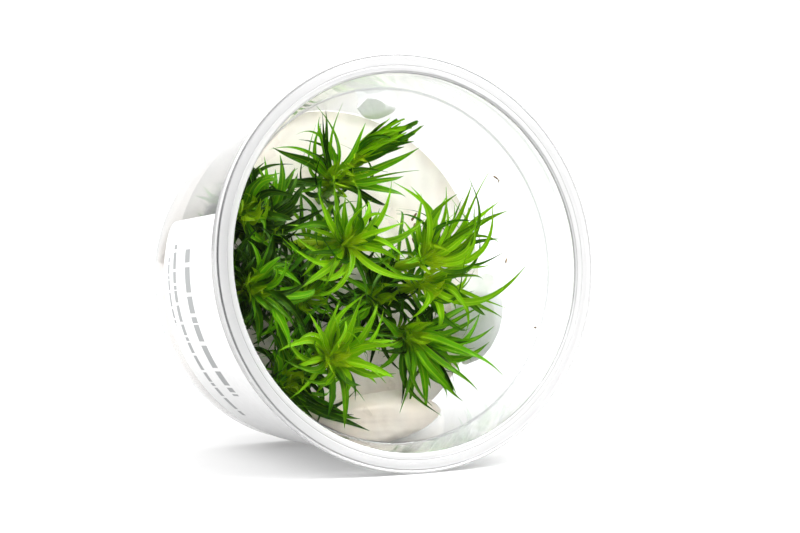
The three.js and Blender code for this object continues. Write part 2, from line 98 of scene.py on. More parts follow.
# Label, wrapped round the left and low side of the wall. LABEL_SKINS is how far its two faces are off the
# wall. The rows are plain bars: place down the label, height, start and end along it, and how closely each
# is broken.
LABEL_WIDTH = 77.0
LABEL_MIDDLE = math.radians(301)
LABEL_TOP_DEPTH = 9.0
LABEL_BOTTOM_DEPTH = 53.0
LABEL_CORNER = 4.0
LABEL_CORNER_COLUMNS = 9
LABEL_MIDDLE_COLUMNS = 60
LABEL_DOWN = 16
LABEL_SKINS = (0.08, 0.26)
LABEL_ROWS = (
    (0.52, 0.1, 0.1, 0.6, 74.0),
    (0.78, 0.06, 0.08, 0.7, 110.0),
    (0.9, 0.035, 0.12, 0.34, 130.0),
)

# Gel. Its surface wanders by GEL_RELIEF and rises by GEL_CLIMB where it meets the wall, GEL_GAP off it. The
# stems of the solids end GAP above it.
GEL_DEPTH = 45.5
GEL_RELIEF = 0.6
GEL_RINGS = 26
GEL_BEVEL = 1
GEL_FOOT_RADIUS = 38.5
GEL_GAP = 0.1
GEL_CLIMB = 0.5
GEL_CLIMB_WIDTH = 2.5
GAP = 0.3

# Broken lumps are cut by this many planes, at between these shares of their size. A higher LUMP_EDGE makes
# the edges between the cuts harder.
LUMP_PLANES = 18
LUMP_CUTS = (0.72, 1.08)
LUMP_EDGE = 30

# Leaves. One that finds no clear place is tried shifted towards the mouth or the gel, and then shorter. Spare
# leaves may run into others by a little. A bent blade is kept LEAF_SKIN off the wall and the lid's panel.
LEAF_SAMPLES = 14
LEAF_CLEARANCE = 0.4
LEAF_SCALES = (1, 0.9, 0.8, 0.7, 0.6)
LEAF_SHIFTS = (0, 1.5, -1.5, 3, -3, 4.5, -4.5, 6, -6, 8, -8)
SPARE_CLEARANCE = -0.8
SPARE_SCALES = (1, 0.8, 0.6)
SPARE_SHIFTS = (0, 1.5, -1.5, 3)
LEAF_SKIN = 0.35
DEPTH_MARGIN = 0.9
STEM_END_DEPTH = GEL_DEPTH - GEL_RELIEF - GAP
LOWEST_LEAF_DEPTH = GEL_DEPTH - GEL_RELIEF - DEPTH_MARGIN
HIGHEST_LEAF_DEPTH = PANEL_DEPTH + WALL + DEPTH_MARGIN
WALL_CLEARANCE = 1.3
LUMP_CLEARANCE = 1.3

# A leaf starts this far from its crown's middle, level with it at LEVEL_RISE and lower the less it rises.
CROWN_START = 0.8
LEVEL_RISE = 8
START_PER_RISE = 0.2
LOWEST_START = -1.4
HIGHEST_START = 0.6
MIDDLE_RUN = 0.45
MIDDLE_RISE = 0.5

# Stems have low ribs that wind up them.
STEM_RADIUS = 1.7
STEM_TAPER = 0.3
STEM_LEAN = 0.3
STEM_STATIONS = 9
STEM_SIDES = 10
STEM_RIBS = 3
STEM_RIB_HEIGHT = 0.12
STEM_TWIST = 9
STEM_UV_TURN = 6.3
STEM_UV_PLACE = 0.25
CROWN_RADIUS = 2.8

# A blade has STATIONS rings. ACROSS is where a ring's points are from the left edge to the right one and
# back below, and UPPER tells those on the upper side.
STATIONS = 18
ACROSS = np.array([-1, -0.6, 0, 0.6, 1, 0.6, 0, -0.6])
UPPER = np.array([1, 1, 1, 1, 1, 0, 0, 0])
BLADE_WIDTH = 0.85
LEAST_HALF_WIDTH = 0.05
LEAST_THICKNESS = 0.07
FOLD_START = 0.72
TUCKED_SHARE = 0.25

# The closed plantlet's blades are narrower and straighter, keep together and lean over to one side.
CLOSED_SPREAD = 0.15
CLOSED_WIDTH = 0.8
CLOSED_BEND = 0.8
CLOSED_LEAN = np.array([1.5, -2.5, 0])

# The young leaves in the heart of each crown, and how far each is turned from the one before.
YOUNG_LEAVES = 9
YOUNG_TURN = 2.4
YOUNG_WIDTH = 2.1

# A plantlet's hub is (right, up, depth) and its root (right, up). Then come the width of its leaves, how many
# spare leaves grow by the main ones and how many older ones under the crown, its painted light level, and its
# main leaves. One low in painted light has most of its leaves in painted shade and takes the shaded leaf
# colours.
# A leaf is (right, up, rise, arch, bow, width): where its tip is from the crown, how far its middle arches
# towards the mouth, how far it bows to the left of its run, and its own width if it has any.
Plantlet = namedtuple("Plantlet", "hub root width spares unders bright leaves")
PLANTLETS = {
    "front": Plantlet((-4, 7, 27), (-9, 8), 2.4, 20, 28, 1.0, (
        (-9, 13, 8, 3, 0), (-13, 8, 8, 5, 1), (-7, 8, 10, 2, 0), (-18, 1, 6, 6, -2),
        (3, 13, 8, 3, -1), (14, 6, 8, 3, -2), (18, 4, 9, 3, -2), (12, -2, 11, 4, 2),
        (9, -4, 12, 2, 0), (16, -14, 6, 4, 1), (-9, -12, 4, 4, 2), (-4, -12, 8, 4, 2),
        (-16, -9, 3, 5, 3), (-18, -6, 2, 6, 2), (15, 11, 3, 3, 0), (9, 0, 13, 2, 0),
    )),
    "right_upper": Plantlet((17, 2, 27), (13, 1), 2.2, 22, 14, 0.9, (
        (-3, 20, 9, 2, -1), (1, 17, 10, 2, 0), (4, 17, 9, 2, 0), (6, 15, 9, 2, 0),
        (17, 18, 7, 3, 2), (15, 15, 8, 2, -1), (18, 15, 8, 3, -2), (20, 12, 9, 2, -1),
        (21, 12, 11, 2, -7), (21, 5, 12, 1, -6), (14, 6, 9, 2, -3), (-9, 1, 8, 3, 0),
        (-6, 9, 6, 3, 1),
    )),
    "right_lower": Plantlet((18, -3, 31), (17, -5), 2.3, 16, 14, 0.85, (
        (15, 4, 9, 2, -2), (23, -3, 15, 0, -5), (19, -10, 8, 3, 1), (12, -14, 6, 3, 1),
        (15, -14, 3, 3, 1), (-1, -14, 3, 4, 0, 2.8), (-10, -2, 7, 3, -1), (-4, -10, 6, 3, 0),
        (14, -4, 8, 3, -2), (8, -9, 8, 3, 1),
    )),
    "low": Plantlet((-11, -21, 25), (-17, -22), 2.4, 20, 26, 0.95, (
        (-6, 13, 9, 3, 0), (-3, 13, 10, 3, 0), (1, 16, 8, 3, 1), (4, 13, 11, 2, 1),
        (7, 13, 11, 2, 1), (9, 13, 11, 2, 0), (13, 8, 9, 3, 1), (12, 5, 11, 2, 0),
        (14, 0, 11, 2, 0), (13, -2, 11, 2, 0), (11, -5, 9, 2, 0), (13, -8, 5, 3, 0),
        (8, -10, 4, 3, 1), (2, -11, 3, 4, 3), (-5, -13, 0, 4, 1), (-3, -15, 0, 4, 1),
        (-12, -5, 2, 4, 0), (-13, 3, 5, 4, -2), (-15, 7, 5, 3, -2), (-3, 7, 12, 2, 0),
    )),
    "dark": Plantlet((15, -16, 34), (14, -15), 2.6, 20, 22, 0.5, (
        (23, -9, 7, 3, 2), (21, -13, 7, 3, 1), (22, -14, 5, 2, -1), (20, -18, 5, 3, 0, 3.2),
        (13, -21, 6, 2, -4), (11, -19, 4, 3, 0), (10, -21, 3, 3, 0, 3), (7, -21, 3, 3, 0),
        (3, -18, 4, 3, 0), (1, -15, 2, 3, 0), (-6, -20, 2, 3, 0, 2.8), (22, -2, 7, 0, -6),
        (21, -5, 6, 1, -5), (16, -1, 5, 3, -1, 3), (18, 5, 4, 2, -2), (23, 6, 6, 2, -2),
        (13, 6, 1, 3, 0, 3), (-10, -4, 2, 4, 0), (-13, 3, 3, 4, 0),
    )),
    "closed": Plantlet((2, 27, 37), (1, 26), 2.8, 24, 3, 0.6, (
        (6, 14, 12, 1, 2), (8, 14, 15, 1, 1), (10, 13.5, 16, 1, 0), (13, 12, 15, 1, -2),
        (14, 10, 13, 1, -2), (11, 9, 12, 2, -1), (7, 11, 14, 3, 0),
    )),
    "high": Plantlet((-3, 23, 34), (-2, 20), 1.9, 10, 12, 0.5, (
        (-2, 19, 3, 2, 0, 2), (-8, 16, 2, 2, -3, 1.6), (-4, 17, 3, 2, -1), (-10, 13, 1, 2, 0),
        (-13, 13, 0, 2, 0), (-8, 11, 3, 2, 0), (3, 14, 5, 3, -2), (15, 13, -2, 3, -2, 1.8),
        (18, 9, -3, 3, 2), (22, 7, 4, 4, 2, 2.8), (21, -4, 1, 4, 2, 2.6), (15, -8, 3, 4, 2),
        (-17, 7, 0, 3, 1, 3.4), (-19, 0, -2, 3, 1, 2.8), (8, 6, -2, 3, 0),
    )),
    "left": Plantlet((-32, -3, 24), (-30, -3), 2.6, 26, 44, 0.1, (
        (6, 11, 4, 4, 0, 3), (9, 15, 5, 4, -3), (6, -11, 6, 5, 1, 3.6), (13, -12, 6, 5, 1, 3),
        (20, -3, 2, 5, -1), (9, -16, 3, 5, 1, 2.8), (-3, 11, 6, 3, 0, 2.2), (13, 3, 4, 4, 1),
        (-2, -12, 4, 3, 0), (3, -15, 1, 4, 0), (16, -6, 1, 5, -1, 3), (11, 8, 1, 4, 1, 2.8),
        (2, 8, 8, 3, 0),
    )),
    "left_upper": Plantlet((-24, 12, 33), (-23, 10), 2.6, 20, 40, 0.1, (
        (4, 18, 3, 3, 0), (1, 15, 2, 3, 0), (-4, 13, 2, 3, 0), (10, 16, -1, 3, 0, 3),
        (9, 6, 4, 4, 1), (12, -4, 3, 4, 0), (-9, 9, 3, 3, 0), (7, 12, 6, 3, 0),
        (13, 11, 2, 3, 0, 3), (8, -9, 4, 3, 0),
        (-11, 8, -8, 2, 0), (-9, 12, -6, 2, 0), (-12, 3, -5, 2, 1), (-10, 6, -9, 3, -1),
    )),
    "left_wall": Plantlet((-31, 15, 27), (-30, 13), 2.5, 20, 36, 0.15, (
        (1, 14, 5, 3, 0), (4, 13, 7, 3, 0), (-4, 9, 6, 2, 0), (9, 9, 6, 4, 0),
        (12, -2, 5, 4, 1, 2.8), (5, -9, 4, 3, 0), (-1, 8, 10, 2, 0), (10, 4, 9, 3, 0),
        (-6, 3, -12, 1, 0), (-7, 0, -8, 2, 0), (-3, 7, -12, 1, 1), (-5, 4, -15, 0, -1), (-6, 6, -5, 1, 0),
    )),
    "low_left": Plantlet((-21, -27, 32), (-20, -25), 2.7, 28, 44, 0.25, (
        (-5, 9, 6, 4, 3), (21, -13, 1, 3, 1, 3.2), (17, -13, 0, 3, 1, 3), (2, -13, 2, 3, 0),
        (-9, 6, 5, 3, 0), (-3, 15, 4, 4, 0, 3), (6, 14, 2, 4, 0),
    )),
    "back_centre": Plantlet((9, -6, 40), (9, -6), 2.2, 26, 40, 0.05, (
        (-18, 2, 2, 3, 1), (-12, -9, 2, 3, 0), (3, -13, 1, 2, 0), (16, -8, 2, 2, 1),
        (-9, 13, 3, 3, 0), (4, 15, 3, 3, 0),
    )),
    "back_left": Plantlet((-11, -6, 39), (-11, -6), 2.3, 32, 50, 0.05, (
        (-14, 9, 2, 3, 0), (12, -9, 1, 3, 0), (-12, -12, 2, 3, 0), (2, 14, 2, 3, 0),
        (10, 10, 2, 3, 1),
    )),
}

# Loose gel and the dead crown: centre (right, up, depth), half sizes, how far the surface wanders.
CHUNKS = {
    "gel_chunk_right": ((39, -13, 41), (7, 12, 8), 0.7),
    "gel_chunk_low": ((6, -37, 39), (17, 7, 8), 1.4),
    "gel_bit_top": ((8, 41.5, 31), (5, 3, 4), 0.4),
}
ROOT_CROWN = ((-2, 1.5, 42), (3.2, 2.6, 2.4), 0.5)

# Small dead bits: middle (right, up, depth), long way, length and thickness.
BITS = (
    ((13.6, 9.2, 25), (0.2, 1, 0.2), 3.2, 1.0),
    ((13.0, 7.0, 24), (-0.3, 1, 0.3), 2.4, 0.8),
    ((14.4, 12.8, 26), (0.6, 0.8, 0.3), 2.2, 0.6),
    ((-8.6, 1.6, 27), (0.3, 1, 0.4), 3.0, 1.6),
    ((-7.4, 2.8, 28), (0.9, 0.4, 0.3), 2.4, 0.8),
    ((30.0, 20.8, 10.8), (0.8, -0.5, 0), 1.6, 0.4),
    ((30.8, 20.0, 10.8), (0.2, 1, 0), 0.9, 0.3),
    ((31.4, 0.1, 10.8), (0.3, 1, 0), 1.2, 0.4),
    ((38.4, -16.6, 10.8), (1, -0.2, 0), 0.8, 0.4),
)

# The camera: where it stands, in metres, the way it looks, and its lens and sensor in mm.
CAMERA_PLACE = (-0.23594, -0.49819, 0.08285)
CAMERA_WAY = (0.4453, 0.893, -0.0658)
LENS = 100
SENSOR_WIDTH = 36

# The sky is bright at the back and overhead. Its lights are (way to it, how far it reaches in degrees, how
# bright it is): first the backdrop that the camera looks at, then soft boxes. The floor's reach is in metres.
FRONT_SKY = 0.02
SIDE_SKY = 0.5
TOP_SKY = 2.7
SOFT_EDGE = 0.06
SKY_LIGHTS = (
    (CAMERA_WAY, 32, 0.85),
    ((0.45, -0.42, 0.79), 20, 18.0),
    ((-0.62, -0.3, 0.72), 22, 6.0),
    ((-0.3, -0.9, 0.4), 14, 4.0),
    ((-0.95, -0.1, 0.15), 18, 2.5),
    ((0.98, 0.1, 0.15), 22, 2.5),
)
FLOOR_REACH = 4.0

rng = np.random.default_rng(7)


def lay(points):
    """Points of the upright cup, in mm, as places in the lying one, in metres."""
    x, y, z = np.asarray(points, float).T
    back = math.sin(TILT) * y - math.cos(TILT) * z + BASE_MIDDLE[0]
    high = math.cos(TILT) * y + math.sin(TILT) * z + BASE_MIDDLE[1]
    return np.stack([x, back, high], 1) * MM


def upright(place):
    """A place (right, up, depth) as a point of the upright cup."""
    right, up, depth = place
    return np.array([right, up, HEIGHT - depth], float)


def wall_radius(depth):
    """The radius of the wall's outside at a depth, for the corners of the faceted cup."""
    low = HEIGHT - BASE_CHAMFER
    along = (depth - CUP_TOP_DEPTH) / (low - CUP_TOP_DEPTH)
    return CUP_TOP_RADIUS + (BASE_RADIUS - CUP_TOP_RADIUS) * along


def unit(v):
    return v / np.maximum(np.linalg.norm(v, axis=-1, keepdims=True), TINY)


def wander(x, y, z):
    """A smooth unevenness between -1 and 1."""
    first = np.sin(0.31 * x + 1.7)
    second = np.sin(0.27 * y - 0.6 * np.cos(0.19 * x))
    third = np.sin(0.41 * z + 0.23 * x)
    return (first + second + third) / 3


# Mesh making

def make_object(name, verts, faces, sharp=40, uv=None, tone=None):
    """A smooth piece of the part. Edges bent by more than sharp, in degrees, stay hard."""
    mesh = bpy.data.meshes.new(name)
    mesh.from_pydata(verts.tolist(), [], [list(f) for f in faces])
    bm = bmesh.new()
    bm.from_mesh(mesh)
    bmesh.ops.recalc_face_normals(bm, faces=bm.faces)
    bm.to_mesh(mesh)
    bm.free()
    if uv is not None:
        layer = mesh.uv_layers.new(name="UVMap")
        corner = np.zeros(len(mesh.loops), int)
        mesh.loops.foreach_get("vertex_index", corner)
        layer.data.foreach_set("uv", uv[corner].ravel())
    if tone is not None:
        layer = mesh.attributes.new("tone", "FLOAT_COLOR", "POINT")
        layer.data.foreach_set("color", tone.ravel())
    mesh.shade_smooth()
    mesh.set_sharp_from_angle(angle=math.radians(sharp))
    obj = bpy.data.objects.new(name, mesh)
    bpy.context.collection.objects.link(obj)
    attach(obj, "root")
    return obj


def icosphere(subdivisions):
    """Points and faces of a ball with a radius of 1."""
    bm = bmesh.new()
    bmesh.ops.create_icosphere(bm, subdivisions=subdivisions, radius=1)
    verts = np.array([v.co for v in bm.verts])
    faces = [[v.index for v in f.verts] for f in bm.faces]
    bm.free()
    return verts, faces


def ring_shade(verts, rings):
    """Painted shade along moulded edges and bands of the clear plastic, stronger towards the left. A ring is
    (radius, depth, width, how dark it is to the left and elsewhere): its shade is full up to half its width
    away and gone at one and a half widths."""
    reach = np.hypot(verts[:, 0], verts[:, 1]) / ROUND
    depth = HEIGHT - verts[:, 2]
    leftward = 0.5 - 0.5 * verts[:, 0] / np.maximum(reach, TINY)
    dark = np.zeros(len(verts))
    for radius, at, width, left, right in rings:
        far = np.hypot(reach - radius, depth - at) / width
        strength = right + (left - right) * leftward ** 3
        dark = np.maximum(dark, strength * np.clip(1.5 - far, 0, 1))
    return np.stack([dark, dark, dark, np.ones(len(verts))], 1)


def lathe(profile):
    """Points and faces of a profile of (radius, depth) turned round the axis, and each face's place in it."""
    turn = np.arange(SEGMENTS) * 2 * math.pi / SEGMENTS - math.pi / 2
    verts, rings = [], []
    for radius, depth in profile:
        rings.append((len(verts), radius > 0))
        if radius > 0:
            r = radius * ROUND
            verts.extend(zip(r * np.cos(turn), r * np.sin(turn), np.full(SEGMENTS, HEIGHT - depth)))
        else:
            verts.append((0.0, 0.0, HEIGHT - depth))
    faces, band = [], []
    pairs = list(zip(rings, rings[1:]))
    if rings[0][1]:
        pairs.append((rings[-1], rings[0]))
    for number, ((a, wide_a), (b, wide_b)) in enumerate(pairs):
        for i in range(SEGMENTS):
            j = (i + 1) % SEGMENTS
            if wide_a and wide_b:
                faces.append((a + i, a + j, b + j, b + i))
            elif wide_b:
                faces.append((a, b + j, b + i))
            elif wide_a:
                faces.append((a + i, a + j, b))
            else:
                continue
            band.append(number)
    return np.array(verts), faces, np.array(band)


def rounded(profile, radius, steps=4):
    """Rounds every corner of a profile that isn't one of its ends. A corner takes up to 0.45 of a side."""
    p = [np.array(q, float) for q in profile]
    out = [tuple(p[0])]
    for before, here, after in zip(p, p[1:], p[2:]):
        a, b = before - here, after - here
        la, lb = np.linalg.norm(a), np.linalg.norm(b)
        cut = min(radius, 0.45 * la, 0.45 * lb)
        start, end = here + a / la * cut, here + b / lb * cut
        for t in np.linspace(0, 1, steps + 1):
            out.append(tuple((1 - t) ** 2 * start + 2 * t * (1 - t) * here + t * t * end))
    out.append(tuple(p[-1]))
    return out


# Materials

def linear(red, green, blue, alpha=1.0):
    """A screen colour with parts up to 255, in the linear values that a shader takes."""
    return tuple(((c / 255 + 0.055) / 1.055) ** 2.4 if c > 10 else c / 255 / 12.92
                 for c in (red, green, blue)) + (alpha,)


def grey(level):
    return (level, level, level, 1)


class Nodes:
    """A material, with short ways to add nodes before its shader."""

    def __init__(self, name):
        self.material = bpy.data.materials.new(name)
        self.material.use_nodes = True
        self.tree = self.material.node_tree
        self.shader = self.tree.nodes["Principled BSDF"]

    def add(self, kind, links=None, **settings):
        node = self.tree.nodes.new(kind)
        for key, value in settings.items():
            setattr(node, key, value)
        for socket, value in (links or {}).items():
            self.put(node, socket, value)
        return node

    def put(self, node, socket, value):
        if isinstance(value, bpy.types.NodeSocket):
            self.tree.links.new(value, node.inputs[socket])
        else:
            node.inputs[socket].default_value = value

    def look(self, **values):
        for socket, value in values.items():
            self.put(self.shader, socket.replace("_", " "), value)

    def math(self, operation, *values):
        node = self.add("ShaderNodeMath", operation=operation)
        for i, value in enumerate(values):
            self.put(node, i, value)
        return node.outputs[0]

    def ramp(self, factor, *stops):
        node = self.add("ShaderNodeValToRGB", {0: factor})
        ramp = node.color_ramp
        while len(ramp.elements) < len(stops):
            ramp.elements.new(0.5)
        for element, (place, color) in zip(ramp.elements, stops):
            element.position = place
            element.color = color
        return node.outputs[0]

    def mix(self, factor, a, b, blend="MIX"):
        node = self.add("ShaderNodeMix", data_type="RGBA", blend_type=blend)
        self.put(node, 0, factor)
        self.put(node, 6, a)
        self.put(node, 7, b)
        return node.outputs[2]

    def noise(self, scale, detail=3.0, vector=None):
        if vector is None:
            vector = self.add("ShaderNodeTexCoord").outputs["Object"]
        node = self.add("ShaderNodeTexNoise", {"Vector": vector, "Scale": scale, "Detail": detail})
        return node.outputs[0]

    def bump(self, height, strength, distance):
        node = self.add("ShaderNodeBump", {"Height": height, "Strength": strength, "Distance": distance})
        self.look(Normal=node.outputs[0])

    def tone(self):
        """The tone attribute that the mesh carries."""
        return self.add("ShaderNodeAttribute", attribute_name="tone")

    def surface_place(self):
        """How far across and how far along the surface a point is."""
        uv = self.add("ShaderNodeUVMap", uv_map="UVMap").outputs[0]
        split = self.add("ShaderNodeSeparateXYZ", {0: uv})
        return split.outputs[0], split.outputs[1]

    def near(self, value, middle, width):
        """One where a value is within half a width of a middle, and nothing elsewhere."""
        away = self.math("ABSOLUTE", self.math("SUBTRACT", value, middle))
        return self.math("LESS_THAN", away, width / 2)


def clear_plastic(name, tint, transmission, roughness, edge, ripple=0.05, greying=0.55):
    """Clear plastic with painted shade: greyer where seen edge on and, by its tone, at moulded edges."""
    n = Nodes(name)
    facing = n.add("ShaderNodeLayerWeight", {"Blend": 0.3}).outputs["Facing"]
    painted_edge_on_shade = n.ramp(facing, (greying, grey(0)), (0.95, grey(1)))
    # dark is painted shade: the edge-on grey, and the tone's painted shade along moulded edges.
    dark = n.math("MAXIMUM", painted_edge_on_shade, n.tone().outputs["Fac"])
    n.look(Base_Color=n.mix(dark, tint, edge), IOR=1.49, Transmission_Weight=transmission)
    n.look(Roughness=roughness)
    n.bump(n.noise(35.0, 2.0), ripple, 0.0003)
    return n.material


def gel_material(name, low, high, transmission):
    """Cloudy gel, whose colour runs between two and whose gloss goes with it."""
    n = Nodes(name)
    cloud = n.noise(90.0, 5.0)
    n.look(Base_Color=n.ramp(cloud, (0.3, low), (0.7, high)))
    n.look(IOR=1.34, Transmission_Weight=transmission)
    n.look(Roughness=n.math("MULTIPLY_ADD", cloud, 0.25, 0.18))
    n.bump(n.noise(260.0, 5.0), 0.2, 0.0006)
    return n.material


def leaf_material(name, crown, middle, tip, shade, below, gloss):
    """Colours run from the crown to the tip. The tone attribute holds how far each leaf goes to the
    painted-shade colour shade, whether a point is on the upper side, and how pale and young the leaf is."""
    n = Nodes(name)
    shade_chance, upper, young = n.add("ShaderNodeSeparateColor", {0: n.tone().outputs[0]}).outputs
    across, along = n.surface_place()
    run = n.ramp(along, (0.0, crown), (0.26, middle), (0.7, tip), (1.0, tip))
    # Painted shade: a leaf's colour goes towards shade by its shade_chance, less near the crown.
    shade_past_crown = n.ramp(along, (0.0, grey(0.2)), (0.35, grey(0.9)))
    own = n.mix(n.math("MULTIPLY", shade_chance, shade_past_crown), run, shade)
    fresh = n.mix(n.math("MULTIPLY", young, 0.8), own, crown)

    stretched = {
        0: n.math("MULTIPLY", across, 14.0),
        1: n.math("MULTIPLY", along, 2.0),
        2: n.math("MULTIPLY", shade_chance, 60.0),
    }
    vein = n.noise(1.0, 2.0, n.add("ShaderNodeCombineXYZ", stretched).outputs[0])
    veins = n.ramp(vein, (0.3, (0.5, 0.5, 0.4, 1)), (0.7, (1.4, 1.3, 1.2, 1)))
    veined = n.mix(0.55, fresh, veins, "MULTIPLY")

    # A paler midrib, partly real, and painted highlights along both edges, fainter on leaves in painted
    # shade.
    from_middle = n.math("ABSOLUTE", n.math("SUBTRACT", across, 0.5))
    rib = n.ramp(from_middle, (0.0, grey(1)), (0.1, grey(0)), (0.4, grey(0)), (0.5, grey(0.8)))
    rib_highlight = n.math("MULTIPLY_ADD", shade_chance, -0.38, 0.45)
    pale = n.mix(0.3, crown, linear(240, 250, 90))
    ribbed_highlit = n.mix(n.math("MULTIPLY", rib, rib_highlight), veined, pale)
    under = n.mix(0.3, ribbed_highlit, below)
    n.look(Base_Color=n.mix(upper, under, ribbed_highlit))
    n.look(Roughness=n.math("MULTIPLY_ADD", vein, 0.16, 0.18), IOR=1.45, Specular_IOR_Level=0.35)
    n.look(Specular_Tint=gloss)
    n.bump(vein, 0.5, 0.0003)
    return n.material


def paper_material():
    """White paper with rows of grey bars. Two waves along a row that don't keep step break it up."""
    n = Nodes("label_paper")
    fibre = n.noise(700.0, 4.0)
    paper = n.ramp(fibre, (0.3, linear(208, 208, 208)), (0.7, linear(214, 214, 214)))
    along, down = n.surface_place()
    ink = 0.0
    for row, tall, start, end, dash in LABEL_ROWS:
        on_row = n.near(down, row, tall)
        within = n.near(along, (start + end) / 2, end - start)
        first = n.math("SINE", n.math("MULTIPLY", along, dash))
        second = n.math("SINE", n.math("MULTIPLY", along, 2.7 * dash))
        unbroken = n.math("GREATER_THAN", n.math("ADD", first, second), -1.1)
        bars = n.math("MULTIPLY", n.math("MULTIPLY", on_row, within), unbroken)
        ink = n.math("MAXIMUM", ink, bars)
    n.look(Base_Color=n.mix(ink, paper, linear(132, 134, 134)), Roughness=0.5)
    n.bump(fibre, 0.15, 0.0001)
    return n.material


def dead_material():
    n = Nodes("dead_crown")
    blotch = n.noise(500.0, 5.0)
    n.look(Base_Color=n.ramp(blotch, (0.35, linear(60, 36, 20)), (0.5, linear(120, 86, 50)),
                             (0.65, linear(168, 140, 96))))
    n.look(Roughness=0.75)
    n.bump(blotch, 0.8, 0.0006)
    return n.material


def floor_material():
    n = Nodes("floor_white")
    n.look(Base_Color=n.ramp(n.noise(3.0), (0.3, grey(0.3)), (0.7, grey(0.31))), Roughness=0.6)
    n.look(Emission_Color=grey(1), Emission_Strength=0.3)
    return n.material


# Each plastic's last colour is the painted-shade grey that it takes where seen edge on and along moulded
# edges.
CLEAR = clear_plastic("clear_plastic", linear(253, 254, 254), 1.0, 0.0, linear(130, 132, 133))
MILKY = clear_plastic("milky_plastic", linear(205, 205, 205), 0.55, 0.15, linear(80, 81, 82), 0.01)
FROSTED = clear_plastic("frosted_plastic", linear(246, 247, 247), 1.0, 0.08, linear(58, 60, 61), 0.02, 0.4)
GEL = gel_material("culture_gel", linear(255, 243, 233), linear(255, 250, 243), 0.08)
BROKEN_GEL = gel_material("broken_gel", linear(255, 240, 222), linear(255, 248, 236), 0.12)
THIN_GEL = gel_material("thin_gel", linear(246, 248, 243), linear(251, 252, 249), 0.12)
# Two copies of the leaf colours: a lit one, and a darker one for plantlets painted as lying in shade. Each
# one's shade colour is its painted-shade green.
LIT_LEAF = leaf_material("bright_leaf", linear(206, 236, 34), linear(136, 202, 0), linear(116, 190, 0),
                       linear(30, 96, 0), linear(150, 190, 16), (0.75, 1.0, 0.2, 1))
SHADED_LEAF = leaf_material("dark_leaf", linear(170, 212, 20), linear(92, 164, 0), linear(78, 152, 0),
                     linear(0, 18, 0), linear(70, 140, 4), (0.4, 1.0, 0.1, 1))
PAPER = paper_material()
DEAD = dead_material()


# Leaves

def leaf_line(hub, leaf, scale=1.0):
    """A leaf's start, middle and tip."""
    right, up, rise, arch, bow = leaf[:5]
    run = math.hypot(right, up) or 1.0
    height = min(HIGHEST_START, max(LOWEST_START, START_PER_RISE * (rise - LEVEL_RISE)))
    start = hub + np.array([CROWN_START * right / run, CROWN_START * up / run, height])
    tip = hub + scale * np.array([right, up, rise], float)
    middle = hub + np.array([
        scale * MIDDLE_RUN * right - bow * up / run,
        scale * MIDDLE_RUN * up + bow * right / run,
        scale * MIDDLE_RISE * rise + arch,
    ])
    return np.array([start, middle, tip])


def along_curve(line, t):
    t = np.asarray(t)[:, None]
    return (1 - t) ** 2 * line[0] + 2 * t * (1 - t) * line[1] + t ** 2 * line[2]


def half_width(t, width):
    """Half the width of a leaf of the solids, for finding it a clear place."""
    widening = np.minimum(1, 0.4 + 2.4 * t)
    tapering = 1 - np.maximum(0, (t - 0.3) / 0.7) ** 1.5
    return width / 2 * widening * tapering


def fine_half_width(t, width, blunt, strap):
    """Half the width of a blade. A higher strap keeps it wide for longer, and blunt keeps its end wide."""
    widening = np.minimum(1, 0.6 + 1.2 * t)
    tapering = 1 - (1 - 0.7 * blunt) * np.maximum(0, (t - 0.12) / 0.88) ** strap
    return np.maximum(width / 2 * widening * tapering, LEAST_HALF_WIDTH)


def inside_cup(points):
    depth = HEIGHT - points[:, 2]
    reach = np.hypot(points[:, 0], points[:, 1])
    room = (wall_radius(depth) - WALL) * ROUND - WALL_CLEARANCE
    return ((depth > HIGHEST_LEAF_DEPTH) & (depth < LOWEST_LEAF_DEPTH) & (reach < room)).all()


def clear_of_lumps(points):
    for centre, size, rough in [*CHUNKS.values(), ROOT_CROWN]:
        away = (points - upright(centre)) / (np.array(size) + LUMP_CLEARANCE + rough)
        if (np.linalg.norm(away, axis=1) <= 1).any():
            return False
    return True


def clear_of_plants(points, radii, others, clearance):
    far = np.linalg.norm(points[:, None] - others[None, :, :3], axis=2)
    return (far > radii[:, None] + others[None, :, 3] + clearance).all()


def settle(hub, leaf, width, others, clearance, scales=LEAF_SCALES, shifts=LEAF_SHIFTS):
    """Lifts or sinks a leaf until it is clear of the other plantlets, and shortens it only if it must."""
    t = np.linspace(0, 1, LEAF_SAMPLES + 1)
    radii = np.maximum(0.35, half_width(t, width))
    for scale in scales:
        for shift in shifts:
            moved = (leaf[0], leaf[1], leaf[2] + shift, leaf[3] + shift / 4, leaf[4])
            line = leaf_line(hub, moved, scale)
            points = along_curve(line, t)
            if inside_cup(points) and clear_of_lumps(points) \
                    and clear_of_plants(points, radii, others, clearance):
                return line, np.column_stack([points, radii])
    return None


def stem_line(hub, root):
    foot = upright((*root, STEM_END_DEPTH))
    middle = np.array([
        foot[0] + STEM_LEAN * (hub[0] - foot[0]),
        foot[1] + STEM_LEAN * (hub[1] - foot[1]),
        (foot[2] + hub[2]) / 2,
    ])
    return np.array([foot, middle, hub])


def stem_samples(hub, root):
    """Points along a stem and its crown, each with its radius."""
    points = along_curve(stem_line(hub, root), np.linspace(0, 1, LEAF_SAMPLES + 1))
    stem = np.column_stack([points, np.full(len(points), STEM_RADIUS)])
    return np.vstack([stem, [*hub, CROWN_RADIUS]])


